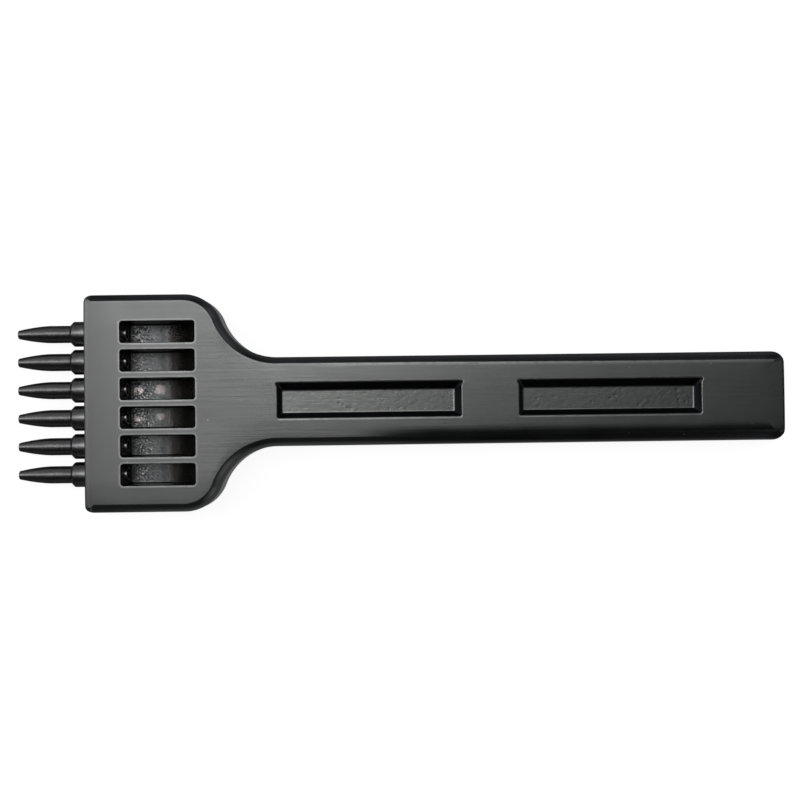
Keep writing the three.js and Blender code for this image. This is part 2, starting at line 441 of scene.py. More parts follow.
def end_corner(at):
    """How near a point of the outline is to a corner of the struck end."""
    begin, full = END_CORNER_START
    lengthwise = smooth_step(at.x, BODY_LENGTH - begin, BODY_LENGTH - full)
    return lengthwise * smooth_step(abs(at.y), *END_CORNER_SIDE)


def edge_section(k):
    """(inset, height) of outline point k, from the front face over the edge and round to the back face."""
    at = EDGE[k]
    width, drop = chamfer_size(at, WIDTH_TURN), chamfer_size(at, DROP_TURN)
    ripple = RIPPLE * noise.noise(Vector((at.x * 0.35, at.y * 0.35, 3.0)))
    worn = worn_edge(at)
    round_cut = worn * (1 - end_corner(at))
    inner_cut = between(EDGE_CUT, WORN_INNER_CUT, round_cut)
    outer_cut = between(EDGE_CUT, WORN_OUTER_CUT, round_cut)
    rolled = 1 - smooth_step(at.x, 0.15, 1.2)
    lower = smooth_step(-at.y, *LOWER_SIDE) * smooth_step(BODY_LENGTH - at.x, 0, 2.5)
    belly = between(CHAMFER_BELLY, LOWER_BELLY, lower)
    belly_cut = 0.2 + 0.3 * lower * (1 - rolled)
    bulge = Vector((width / 2 - belly, drop / 2 - belly)).lerp(Vector((ROLLED_INSET, ROLLED_DROP)), rolled)

    def sunk(distance):
        return worn * WORN_HEIGHT * (1 - distance / WORN_REACH) ** 3

    distances = [d * (1 + smooth_step(at.x, *FULL_RINGS)) / 2 for d in RINGS]
    rings = [Vector((width + d, THICKNESS - sunk(d))) for d in distances]
    corners = [
        rings[-1],
        Vector((width + ripple, THICKNESS - sunk(0))),
        Vector((bulge.x, THICKNESS - bulge.y - sunk(0) / 2)),
        Vector((0, THICKNESS - drop)),
        Vector((0, drop)),
        Vector((bulge.x, bulge.y)),
        Vector((width - ripple, 0)),
        Vector((width + distances[-1], 0)),
    ]
    cuts = (inner_cut, belly_cut, outer_cut, EDGE_CUT, belly_cut, EDGE_CUT)
    back = [Vector((width + d, 0)) for d in reversed(distances[:-1])]
    return rings[:-1] + soften(corners, cuts, EDGE_STEPS) + back


def edge_highlight(at):
    """How strong the painted highlight is inside the chamfer at a point of the outline."""
    upper = smooth_step(at.y, -1, 3)
    off_the_ends = smooth_step(at.x, 0.2, FRONT_TURN) * smooth_step(BODY_LENGTH - at.x, 0.1, 1.5)
    return 0.1 + upper * off_the_ends * (0.35 + 0.55 * smooth_step(at.x, 25, 80))


def side_distance(x, y):
    """How far a point of the faces is from the iron's side, measured across the handle."""
    run, sweep = shoulder()
    split = HEAD_LENGTH + CONVEX_R * math.sin(math.radians(sweep))
    if x < HEAD_LENGTH:
        half_width = HEAD_WIDTH / 2
    elif x < split:
        half_width = HEAD_WIDTH / 2 - CONVEX_R + math.sqrt(CONVEX_R ** 2 - (x - HEAD_LENGTH) ** 2)
    elif x < HEAD_LENGTH + run:
        left = HEAD_LENGTH + run - x
        half_width = HANDLE_WIDTH / 2 + CONCAVE_R - math.sqrt(CONCAVE_R ** 2 - left ** 2)
    else:
        half_width = HANDLE_WIDTH / 2
    return half_width - abs(y)


def dressed(point):
    """The point moved in from both faces, which the maker's belt has left slightly crowned."""
    fall = END_CROWN_HEIGHT * clamp(1 - (BODY_LENGTH - point.x) / CROWN_REACH) ** 2
    for distance in (side_distance(point.x, point.y), point.x):
        fall += CROWN_HEIGHT * clamp(1 - distance / CROWN_REACH) ** 2
    share = (point.z - THICKNESS / 2) / (THICKNESS / 2)
    return Vector((point.x, point.y, point.z - share * min(fall, 1.5 * CROWN_HEIGHT)))


def circle(centre, radius, steps):
    return arc(centre, radius, 0, 360, steps)[:-1]


def add_sides(shell):
    """The iron's rounded and chamfered rim. Returns the loops that bound its two flat faces."""
    count = len(EDGE)
    sections = [edge_section(k) for k in range(count)]
    levels = range(len(sections[0]))
    loops = [[inset_point(k, sections[k][level].x) for k in range(count)] for level in levels]
    rows = []
    for level, loop in enumerate(loops):
        from_face = min(level, len(loops) - 1 - level)
        heights = [section[level].y for section in sections]
        row = shell.row([(p.x, p.y, z) for p, z in zip(loop, heights)])
        for vert, at in zip(row, EDGE):
            # Painted shade on the chamfer, and beside the worn edge and the struck end's corners;
            # a painted highlight just inside the chamfer, strongest on the upper side.
            paler = LOWER_PALENESS * smooth_step(-at.y, *LOWER_SIDE) * (1 - worn_edge(at))
            darkness = (CHAMFER_DARKNESS - paler) * smooth_step(at.x, 0.2, FRONT_TURN)
            on_chamfer = darkness * CHAMFER_SHADE_SHARES[from_face]
            beside_edge = max(worn_edge(at), end_corner(at)) * WORN_EDGE_SHADE_SHARES[from_face]
            on_front_face = beside_edge if level == from_face else 0.0
            vert[shell.zones["edge"]] = edge_highlight(at) * HIGHLIGHT_SHARES[from_face]
            vert[shell.zones["matte"]] = max(on_chamfer, on_front_face)
        rows.append(row)
    wall = len(rows) // 2 - 1
    straight_front = set(range(FRONT_STEPS)) | set(range(count - FRONT_STEPS, count))
    shell.loft(rows[:wall + 1])
    shell.loft(rows[wall:wall + 2], skip=straight_front)
    shell.loft(rows[wall + 1:])
    upper, lower = sections[0][wall].y, sections[0][wall + 1].y
    ys = [loops[wall][k % count].y for k in range(-FRONT_STEPS, FRONT_STEPS + 1)]
    rim = [Vector((y, upper)) for y in ys] + [Vector((y, lower)) for y in reversed(ys)]
    holes = [circle((y, AXIS_Z), SOCKET_R, SOCKET_SEGMENTS) for y in ROWS]
    shell.patch([rim, *holes], lambda p: (0, p.x, p.y))
    return loops[0], loops[-1]


def pocket_floor(x):
    """Height of a slug pocket's floor: nearly flat behind the tooth, then curving up to the rear."""
    start, end = FLAT_FLOOR_END - RAMP_LEAD, POCKET_START + POCKET_LENGTH
    rise = FRONT_RISE * clamp(1 - (x - POCKET_START) / RISE_LENGTH) ** 2
    return POCKET_FLOOR + rise + (RAMP_TOP - POCKET_FLOOR) * clamp((x - start) / (end - start)) ** RAMP_POWER


def pocket_seed(row):
    return 3 + 7 * row


def pocket_roughness(x, y, row):
    """Unevenness of a pocket's floor: a milled grain, and scrape marks at the foot of the front wall."""
    seed = pocket_seed(row)
    grain = FLOOR_GRAIN * noise.fractal(Vector((x * 2.2, y * 2.2, seed)), 0.8, 2.0, 4)
    lean = -0.8 if row % 2 else 1.0
    scrapes = math.sin(8.5 * (x + lean * y) + 5 * noise.noise(Vector((x * 1.1, y * 1.1, seed + 9))))
    lumps = noise.noise(Vector((x * 2.7, y * 2.7, seed + 2)))
    return grain + pocket_grit(x, y, row) * (SCRAPE_HEIGHT * scrapes + LUMP_HEIGHT * lumps)


def pocket_grit(x, y, row):
    """How gritty the floor is: most near the foot of the front wall, in patches."""
    patchy = smooth_step(noise.noise(Vector((x * 0.9, y * 0.9, pocket_seed(row) + 5))), -0.4, 0.2)
    return GRITTY_ROWS[row] * math.exp(-((x - GRIT_MIDDLE) / GRIT_REACH) ** 2) * (0.4 + 0.6 * patchy)


def floor_painted_light(x, y, row):
    """How much a pocket's floor is painted paler, as painted light: on the ramp, and in spots of painted
    reflection.
    """
    amount = RAMP_PAINTED_LIGHT * smooth_step(x, FLAT_FLOOR_END - 0.5, FLAT_FLOOR_END + 1.5)
    for x0, y0, half_length, half_width, strength in SPOTS.get(row, ()):
        gap = (abs((x - x0) / half_length) ** 3 + abs((y - y0) / half_width) ** 3) ** (1 / 3)
        ragged = gap + 0.35 * noise.noise(Vector((x * 1.9, y * 1.9, row * 5.0)))
        amount = max(amount, strength * clamp(3 - 3 * ragged))
    return amount


def add_pocket(shell, y0, row):
    """One slug pocket with its socket. Returns the loop it cuts in the front face."""
    seed = pocket_seed(row)
    half_width = POCKET_WIDTH / 2

    def loop(outset):
        ends = POCKET_START - outset, POCKET_START + POCKET_LENGTH + outset
        sides = y0 - half_width - outset, y0 + half_width + outset
        return slot_loop(*ends, *sides, POCKET_CORNER_R + outset, POCKET_STEPS)

    def wavy(point):
        return POCKET_WAVE * noise.noise(Vector((point.x * 0.8, point.y * 0.8, seed)))

    # Painted shade inside the pocket, in patches, fading out where the ramp rises.
    def shade(point):
        patch = noise.noise(Vector((point.x * 1.7, point.y * 1.7, seed + 4)))
        amount = WALL_SHADE[0] + WALL_SHADE[1] * patch
        return amount * (1 - smooth_step(point.x, FLAT_FLOOR_END, FLAT_FLOOR_END + 1.5))

    # A ring of painted highlight round the mouth, then painted shade from the edge down walls and floor.
    rim = loop(EDGE_BREAK + HIGHLIGHT_RING_WIDTH + HIGHLIGHT_RING_FADE)
    painted_highlight = loop(EDGE_BREAK + HIGHLIGHT_RING_WIDTH)
    rows = [
        shell.row([(p.x, p.y, THICKNESS) for p in rim]),
        shell.row([(p.x, p.y, THICKNESS) for p in painted_highlight], edge=0.6),
    ]
    for i in range(BEVEL_STEPS + 1):
        s = i / BEVEL_STEPS
        outset, drop = EDGE_BREAK * (1 - s) ** 2, EDGE_BREAK * s ** 2
        points = [(p.x, p.y + wavy(p) * (1 - s), THICKNESS - drop) for p in loop(outset)]
        rows.append(shell.row(points, edge=0.6 * clamp(1 - 4 * s), matte=clamp(2 * s)))
    lip, foot = len(rows) - 1, len(rows)
    wall = loop(0)
    low = [pocket_floor(p.x) + FLOOR_FILLET for p in wall]
    rows.append(shell.row([(p.x, p.y, z) for p, z in zip(wall, low)], cast=1.0, matte=shade))
    for i in range(1, FILLET_STEPS + 1):
        s = i / FILLET_STEPS
        inset, sink = FLOOR_FILLET * s ** 2, FLOOR_FILLET * (1 - (1 - s) ** 2)
        points = []
        for p, z in zip(loop(-inset), low):
            settle = pocket_floor(p.x) + FLOOR_FILLET - z
            points.append((p.x, p.y, z + s * settle - sink + s * pocket_roughness(p.x, p.y, row)))
        rows.append(shell.row(points, cast=1.0, matte=shade))
    front_steps = POCKET_STEPS[1]
    shell.loft(rows[:lip + 1])
    shell.loft(rows[lip:foot + 1], skip=range(front_steps))
    shell.loft(rows[foot:])
    add_front_wall(shell, wall[:front_steps + 1], y0)
    floor_rim = loop(-FLOOR_FILLET)
    # The floor: painted shade on its flat part, painted light on the ramp and in spots, painted glints in the
    # grit.
    shell.patch(
        [floor_rim],
        lambda p: (p.x, p.y, pocket_floor(p.x) + pocket_roughness(p.x, p.y, row)),
        filler_points([floor_rim], POCKET_GRID, POCKET_MARGIN),
        cast=1.0,
        matte=shade,
        bare=lambda p: floor_painted_light(p.x, p.y - y0, row),
        grit=lambda p: pocket_grit(p.x, p.y, row),
    )
    add_socket(shell, y0)
    return rim


def add_front_wall(shell, top_edge, y0):
    """The flat wall between pocket and tooth, with the socket's mouth in it."""
    top, bottom = THICKNESS - EDGE_BREAK, pocket_floor(POCKET_START) + FLOOR_FILLET
    rim = [Vector((p.y, top)) for p in top_edge] + [Vector((p.y, bottom)) for p in reversed(top_edge)]
    mouth = circle((y0, AXIS_Z), SOCKET_R, SOCKET_SEGMENTS)
    # Half-strength painted shade on this wall.
    shell.patch([rim, mouth], lambda p: (POCKET_START, p.x, p.y), cast=1.0, matte=0.5)


def add_socket(shell, y0):
    """The bore that a tube's shank is pressed through, from the front face to the pocket."""
    ring = circle((y0, AXIS_Z), SOCKET_R, SOCKET_SEGMENTS)
    shell.loft([shell.row([(x, p.x, p.y) for p in ring], bare=1.0) for x in (0, POCKET_START)])


def recess_pits(start, end, seed):
    """Casting pits in a recess floor: (x, y, radius, depth) of each."""
    dice = random.Random(seed)
    pits = []
    for _ in range(PIT_COUNT):
        x = start + 1.5 + (end - start - 3) * dice.random() ** 0.8
        y = dice.uniform(-1.5, 2.0)
        pits.append((x, y, dice.uniform(*PIT_RADII), dice.uniform(*PIT_DEPTHS)))
    return pits


def recess_grain(x, y, pits):
    """Unevenness of a recess floor as it came out of the mould."""
    height = RECESS_GRAIN * noise.fractal(Vector((x * 1.1, y * 1.1, 4.0)), 0.9, 2.0, 3)
    height += RECESS_FINE_GRAIN * noise.noise(Vector((x * 3.4, y * 3.4, 8.0)))
    for px, py, radius, depth in pits:
        gap = ((x - px) ** 2 + (y - py) ** 2) / radius ** 2
        if gap < 6:
            height -= depth * math.exp(-gap)
    return height


# From the face down to the floor of a recess: share of the draft, share of the mouth's softness,
# corner radius, share of the depth, and how much painted highlight (edge), painted shade and cast
RECESS_LEVELS = (
    (0, 2.5, 0.60, 0, (0, 0, 0)),
    (0, 1.9, 0.54, 0, (0.5, 0, 0)),
    (0, 1.0, 0.44, 0.016, (0.6, 0, 0)),
    (0, 0.6, 0.40, 0.036, (0.2, 0.3, 0)),
    (0, 0.2, 0.34, 0.082, (0, 0.9, 0)),
    (0.05, 0, 0.30, 0.15, (0, 0.9, 0)),
    (0.84, 0, 0.22, 0.9, (0, 0.9, 0)),
    (0.94, 0, 0.20, 0.96, (0, 0.9, 0.5)),
    (1.0, 0, 0.19, 0.986, (0.5, 0, 1)),
    (1.18, 0, 0.18, 1, (0.5, 0, 1)),
    (1.24, 0, 0.17, 1, (0, 0, 1)),
)


def add_recess(shell, number, face_z, down):
    """A drafted recess in the face at face_z; down is -1 for the front face and +1 for the back."""
    start, end = RECESS_ENDS[number]
    left_draft, right_draft = RECESS_END_DRAFTS[number]
    middle, half = (RECESS_LOW + RECESS_HIGH) / 2, (RECESS_HIGH - RECESS_LOW) / 2
    pits = recess_pits(start, end, number + 3 * down)

    def loop(share, softness, radius):
        points = slot_loop(
            start + share * left_draft - softness * RECESS_END_SOFTNESS,
            end - share * right_draft + softness * RECESS_END_SOFTNESS,
            RECESS_LOW + share * RECESS_LOW_DRAFT - softness * RECESS_SIDE_SOFTNESS,
            RECESS_HIGH - share * RECESS_HIGH_DRAFT + softness * RECESS_SIDE_SOFTNESS,
            radius,
            RECESS_STEPS,
        )
        for p in points:
            side = (p.y - middle) / half
            ear = RECESS_EARS[side > 0] * smooth_step(abs(side), 0.75, 1.0) * clamp(1 - share * 20)
            from_middle = p.x - (start + end) / 2
            near_end = smooth_step(abs(from_middle), (end - start) / 2 - EAR_LENGTH, (end - start) / 2)
            p.x += math.copysign(ear * near_end, from_middle)
        return points

    rows = []
    for share, softness, radius, depth, (edge, matte, cast) in RECESS_LEVELS:
        points = []
        for p in loop(share, softness, radius):
            grain = recess_grain(p.x, p.y, pits) if share > 1 else 0.0
            points.append((p.x, p.y, face_z + down * RECESS_DEPTH * depth + grain))
        rows.append(shell.row(points, edge=edge, matte=matte, cast=cast))
    shell.loft(rows)
    floor_rim = loop(*RECESS_LEVELS[-1][:3])
    shell.patch(
        [floor_rim],
        lambda p: (p.x, p.y, face_z + down * RECESS_DEPTH + recess_grain(p.x, p.y, pits)),
        filler_points([floor_rim], RECESS_GRID, RECESS_MARGIN),
        cast=1.0,
    )
    return loop(*RECESS_LEVELS[0][:3])


def iron_body(material):
    shell = Shell()
    front_rim, back_rim = add_sides(shell)
    pocket_rims = [add_pocket(shell, y, row) for row, y in enumerate(reversed(ROWS))]
    front_recesses = [add_recess(shell, number, THICKNESS, -1) for number in range(2)]
    back_recesses = [add_recess(shell, number, 0, 1) for number in range(2)]
    front = [front_rim, *pocket_rims, *front_recesses]
    back = [back_rim, *back_recesses]
    shell.patch(front, lambda p: (p.x, p.y, THICKNESS), filler_points(front, FACE_GRID, FACE_MARGIN))
    shell.patch(back, lambda p: (p.x, p.y, 0), filler_points(back, FACE_GRID, FACE_MARGIN))
    shell.shape(dressed)
    piece = shell.finish("coated_iron", material)
    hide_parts("iron_body")
    return piece


# ---------------------------------------------------------------- the punch tubes

def taper_radius(distance):
    """Outer radius of a tube at a distance behind its cutting edge: an ogive that meets the barrel."""
    return BARREL_R - (BARREL_R - TIP_R) * (1 - distance / TAPER_LENGTH) ** OGIVE_POWER


def tube_section():
    """The wall's section as a run of (x, radius, how bare), round the outside and back through the bore."""
    tip = -TOOTH_REACH
    distances = [TAPER_LENGTH * (1 - i / OGIVE_STEPS) for i in range(OGIVE_STEPS)]
    ogive = [Vector((tip + d, taper_radius(d))) for d in distances]
    outside = soften(
        [
            Vector((SHANK_END, SLUG_BORE_R)),
            Vector((SHANK_END, SHANK_R - STUB_TAPER)),
            Vector((POCKET_START, SHANK_R)),
            Vector((-COLLAR_BACK, SHANK_R)),
            Vector((-COLLAR_BACK, COLLAR_R)),
            Vector((COLLAR_BEVEL - COLLAR_LENGTH, COLLAR_R)),
            Vector((-COLLAR_LENGTH, COLLAR_R - COLLAR_BEVEL)),
            Vector((-COLLAR_LENGTH, BARREL_R)),
            ogive[0],
        ],
        TUBE_CUTS,
    )
    lip = soften([ogive[-1], Vector((tip, TIP_R)), Vector((tip, CUT_BORE_R))], (LIP_CUT,))
    bore = [
        Vector((tip + CUT_BORE_LENGTH, CUT_BORE_R)),
        Vector((tip + 2 * CUT_BORE_LENGTH, SLUG_BORE_R)),
    ]
    coating_end = POCKET_START - BARE_IN_WALL
    coated = [(p.x, p.y, float(p.x > coating_end)) for p in outside + ogive[1:] + lip[1:-1]]
    return coated + [(p.x, p.y, 1.0) for p in [lip[-1], *bore]] + [(SHANK_END, SLUG_BORE_R, 1.0)]


def punch_tube(node, material):
    shell = Shell()
    low, high = box_mm(node)
    y0, z0 = (low.y + high.y) / 2, (low.z + high.z) / 2
    section = tube_section()
    rows = []
    for x, radius, bare in section:
        ring = circle((y0, z0), radius, TUBE_SEGMENTS)
        rows.append(shell.row([(x, p.x, p.y) for p in ring], bare=bare))
    shell.loft(rows)
    piece = shell.finish("coated_" + node, material)
    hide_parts(node)
    return piece


# ---------------------------------------------------------------- materials

# Base colours of the iron
COATING_DARK = (0.150, 0.156, 0.153, 1)
COATING_PALE = (0.180, 0.188, 0.185, 1)
CAST_TONE = (0.170, 0.177, 0.172, 1)
PIT_TONE = (0.10, 0.10, 0.10, 1)
# painted shade
PAINTED_SHADE_TONE = (0.022, 0.022, 0.030, 1)
DARK_FLECK = (0.03, 0.03, 0.035, 1)
# painted glints on the grit
PAINTED_GLINT_TONE = (0.55, 0.56, 0.55, 1)
# painted highlight along edges
PAINTED_HIGHLIGHT_TONE = (0.36, 0.37, 0.37, 1)
SPECK_TONE = (0.5, 0.5, 0.5, 1)
# painted light on the pocket floors, and bare steel in the sockets
BARE_AND_PAINTED_LIGHT_TONE = (0.75, 0.68, 0.66, 1)

# Base colours of the tubes
TOOTH_DARK = (0.13, 0.13, 0.134, 1)
TOOTH_PALE = (0.23, 0.23, 0.234, 1)
BARE_STEEL = (0.95, 0.95, 0.93, 1)

BODY_ROUGHNESS = 0.33
TOOTH_ROUGHNESS = 0.14
BUMP_HEIGHT = 0.02 * MM
STREAK_SCALE = (0.08, 3.0, 3.0)
BRUSHED_FROM = (-44, -26)  # the streaks get stronger from the rear of the head to the neck
RING_SCALE = (9.0, 0.15, 0.15)


class Nodes:
    """Short ways to add linked shader nodes to one tree."""

    def __init__(self, tree):
        self.tree = tree

    def add(self, kind, links=None, **settings):
        """Adds a node; links gives its inputs, by name or index, as values or as outputs of other nodes."""
        made = self.tree.nodes.new(kind)
        for name, value in settings.items():
            setattr(made, name, value)
        for name, value in (links or {}).items():
            if isinstance(value, bpy.types.NodeSocket):
                self.tree.links.new(value, made.inputs[name])
            else:
                made.inputs[name].default_value = value
        return made

    def math(self, operation, *values, clamped=False):
        links = dict(enumerate(values))
        return self.add("ShaderNodeMath", links, operation=operation, use_clamp=clamped).outputs[0]

    def scaled(self, vector, factors):
        return self.add("ShaderNodeVectorMath", {0: vector, 1: factors}, operation="MULTIPLY").outputs[0]

    def noise(self, vector, scale, detail=2.0, roughness=0.5):
        links = {"Vector": vector, "Scale": scale, "Detail": detail, "Roughness": roughness}
        return self.add("ShaderNodeTexNoise", links).outputs["Fac"]

    def band(self, value, start, end, low=0.0, high=1.0):
        """value eased from low at start to high at end."""
        links = {"Value": value, "From Min": start, "From Max": end, "To Min": low, "To Max": high}
        return self.add("ShaderNodeMapRange", links, interpolation_type="SMOOTHSTEP").outputs["Result"]

    def mix(self, factor, a, b):
        """Mixes two colours."""
        node = self.add("ShaderNodeMix", data_type="RGBA")
        for socket, value in zip((node.inputs[0], node.inputs[6], node.inputs[7]), (factor, a, b)):
            if isinstance(value, bpy.types.NodeSocket):
                self.tree.links.new(value, socket)
            else:
                socket.default_value = value
        return node.outputs[2]

    def product(self, *values):
        """All the values multiplied together."""
        result = values[0]
        for value in values[1:]:
            result = self.math("MULTIPLY", result, value)
        return result

    def zone(self, name):
        return self.add("ShaderNodeAttribute", attribute_name=name).outputs["Fac"]

    def bump(self, relief):
        """The normal of a surface that this relief makes uneven."""
        links = {"Height": relief, "Strength": 1.0, "Distance": BUMP_HEIGHT}
        return self.add("ShaderNodeBump", links).outputs["Normal"]

    def curve(self, squeezed, stops):
        """A curve from (tangent, brightness) stops; squeezed is the tangent t as t / (1 + |t|)."""
        links = {"Value": squeezed, "From Min": -1.0, "From Max": 1.0}
        place = self.add("ShaderNodeMapRange", links).outputs["Result"]
        ramp = self.add("ShaderNodeValToRGB", {"Fac": place})
        elements = ramp.color_ramp.elements
        while len(elements) < len(stops):
            elements.new(0.5)
        for element, (tangent, brightness) in zip(elements, stops):
            element.position = 0.5 + tangent / (1 + abs(tangent)) / 2
            element.color = (brightness, brightness, brightness, 1)
        return ramp.outputs["Color"]


def new_material(name):
    """A material with a Principled shader, its Nodes and the object's coordinates in millimetres."""
    material = bpy.data.materials.new(name)
    material.use_nodes = True
    nodes = Nodes(material.node_tree)
    place = nodes.scaled(nodes.add("ShaderNodeTexCoord").outputs["Object"], (1 / MM, 1 / MM, 1 / MM))
    return material, nodes, material.node_tree.nodes["Principled BSDF"], place


def plug(nodes, shader, **inputs):
    """Sets or links the shader's inputs; underscores in the names stand for spaces."""
    for name, value in inputs.items():
        socket = shader.inputs[name.replace("_", " ")]
        if isinstance(value, bpy.types.NodeSocket):
            nodes.tree.links.new(value, socket)
        else:
            socket.default_value = value


def cells(nodes, place, scale):
    """Random cells: the distance from their middles, and two random numbers for each."""
    voronoi = nodes.add("ShaderNodeTexVoronoi", {"Vector": place, "Scale": scale})
    dice = nodes.add("ShaderNodeSeparateColor", {0: voronoi.outputs["Color"]}).outputs
    return voronoi.outputs["Distance"], dice[0], dice[1]


def brushed_streaks(nodes, place):
    """Fine streaks along the tool, fainter on the head."""
    along = nodes.add("ShaderNodeSeparateXYZ", {0: place}).outputs["X"]
    streaks = nodes.noise(nodes.scaled(place, STREAK_SCALE), 1.0, 5.0, 0.7)
    strength = nodes.band(along, *BRUSHED_FROM, 0.35, 1.0)
    return nodes.math("MULTIPLY", nodes.math("SUBTRACT", streaks, 0.5), strength)


def cast_pits(nodes, place, cast):
    """Pits in the cast hollows, in patches."""
    distance, _, dice = cells(nodes, place, 1.7)
    patches = nodes.band(nodes.noise(place, 0.35, 2.0), 0.42, 0.6)
    chosen = nodes.math("GREATER_THAN", dice, 0.62)
    return nodes.product(nodes.band(distance, 0.24, 0.08), chosen, patches, cast)


def pale_specks(nodes, place):
    """A few tiny chips in the coating."""
    distance, dice, _ = cells(nodes, place, 0.42)
    return nodes.product(nodes.band(distance, 0.05, 0.03), nodes.math("GREATER_THAN", dice, 0.8))


def body_tone(nodes, place, clouds, pit):
    """Base colour of the iron, with the zones painted one over the other; among them painted shade,
    highlights, glints and reflections.
    """
    edge, cast, bare, matte, grit = [nodes.zone(name) for name in ZONES]
    flecks = nodes.noise(place, 2.6, 4.0, 0.7)
    dark_fleck = nodes.product(nodes.band(flecks, 0.48, 0.41), grit)
    # the pale flecks in the grit are painted glints
    painted_glint = nodes.band(flecks, 0.52, 0.62)
    covered = nodes.product(nodes.math("SUBTRACT", 1.0, painted_glint), grit)
    # painted highlight along edges, in patches
    painted_highlight = nodes.product(nodes.band(nodes.noise(place, 0.9, 4.0, 0.6), 0.3, 0.55, 0.55, 1.0), edge)
    tone = nodes.mix(clouds, COATING_DARK, COATING_PALE)
    for share, colour in (
        (cast, CAST_TONE),
        (pit, PIT_TONE),
        # painted shade in the hollows and on the chamfers
        (matte, PAINTED_SHADE_TONE),
        (dark_fleck, DARK_FLECK),
        (nodes.product(painted_glint, grit), PAINTED_GLINT_TONE),
        (painted_highlight, PAINTED_HIGHLIGHT_TONE),
        (pale_specks(nodes, place), SPECK_TONE),
        # painted light on the pocket floors, hidden in the grit between the glints; bare steel in the sockets
        (nodes.product(bare, nodes.math("SUBTRACT", 1.0, covered)), BARE_AND_PAINTED_LIGHT_TONE),
    ):
        tone = nodes.mix(share, tone, colour)
    return tone


def body_coating():
    """Satin black coating: brushed along the tool, pitted in the cast hollows, painted dead black on their
    walls as painted shade.
    """
    material, nodes, shader, place = new_material("satin_black_coating")
    cast = nodes.zone("cast")
    clouds = nodes.noise(place, 0.16, 4.0, 0.55)
    grain = nodes.noise(place, 3.2, 4.0, 0.65)
    streaks = brushed_streaks(nodes, place)
    pit = cast_pits(nodes, place, cast)

    uneven = nodes.math("MULTIPLY", nodes.math("SUBTRACT", clouds, 0.5), 0.12)
    roughness = nodes.math("ADD", BODY_ROUGHNESS, uneven)
    roughness = nodes.math("ADD", roughness, nodes.math("MULTIPLY", streaks, 0.25))
    roughness = nodes.math("SUBTRACT", roughness, nodes.math("MULTIPLY", cast, 0.04))

    relief = nodes.product(streaks, nodes.math("SUBTRACT", 1.0, cast))
    relief = nodes.math("ADD", relief, nodes.math("MULTIPLY", grain, 0.25))
    relief = nodes.math("ADD", relief, nodes.product(grain, cast, 0.35))
    relief = nodes.math("SUBTRACT", relief, nodes.math("MULTIPLY", pit, 0.6))
    plug(
        nodes,
        shader,
        Base_Color=body_tone(nodes, place, clouds, pit),
        Roughness=roughness,
        Metallic=1.0,
        Normal=nodes.bump(relief),
    )
    return material


def tooth_coating():
    """Thin black coating over turned steel, with bare steel in the bore and fine turning rings."""
    material, nodes, shader, place = new_material("satin_black_tooth_coating")
    bare = nodes.zone("bare")
    clouds = nodes.noise(place, 0.9, 5.0, 0.65)
    rings = nodes.noise(nodes.scaled(place, RING_SCALE), 1.0, 3.0, 0.6)
    tone = nodes.mix(bare, nodes.mix(clouds, TOOTH_DARK, TOOTH_PALE), BARE_STEEL)
    roughness = nodes.math("ADD", TOOTH_ROUGHNESS, nodes.math("MULTIPLY", clouds, 0.16))
    relief = nodes.math("ADD", nodes.math("MULTIPLY", rings, 0.4), nodes.math("MULTIPLY", clouds, 2.0))
    relief = nodes.product(relief, nodes.math("SUBTRACT", 1.0, bare))
    plug(nodes, shader, Base_Color=tone, Roughness=roughness, Metallic=1.0, Normal=nodes.bump(relief))
    return material


iron_body(body_coating())
tooth_finish = tooth_coating()
for tube in TUBES:
    punch_tube(tube, tooth_finish)


# ---------------------------------------------------------------- stage, camera and light

CAMERA_OFFSET = Vector((-1.9, -2.5, 181)) * MM  # from the middle of the front face
FIELD_WIDTH = 140.0 * MM  # width of the picture at the front face
ROLL = math.radians(0.73)
FLOOR_SIZE = 3
FLOOR_DROP = 0.05 * MM  # the floor is this far below the iron's back
FLOOR_DARK, FLOOR_PALE = (0.3, 0.3, 0.3, 1), (0.33, 0.33, 0.33, 1)
FLOOR_GLOW = 0.92  # keeps the floor white to the camera
FLOOR_MIRRORED = 0.3  # brightness of the floor as the handle mirrors it
FLOOR_BY_TEETH = 0.08  # and as the teeth do
FLOOR_CHANGE = (-62, -42)  # it changes over this stretch


def add_camera():
    data = bpy.data.cameras.new("camera")
    data.sensor_width = 36
    data.lens = 36 * CAMERA_OFFSET.length / FIELD_WIDTH
    data.clip_start = 0.01
    camera = bpy.data.objects.new("camera", data)
    camera.location = Vector((0, 0, THICKNESS * MM)) + CAMERA_OFFSET
    back = CAMERA_OFFSET.normalized()
    right = Vector((math.sin(ROLL), math.cos(ROLL), 0)).cross(back).normalized()
    camera.rotation_euler = Matrix((right, back.cross(right), back)).transposed().to_euler()
    bpy.context.scene.collection.objects.link(camera)
    bpy.context.scene.camera = camera


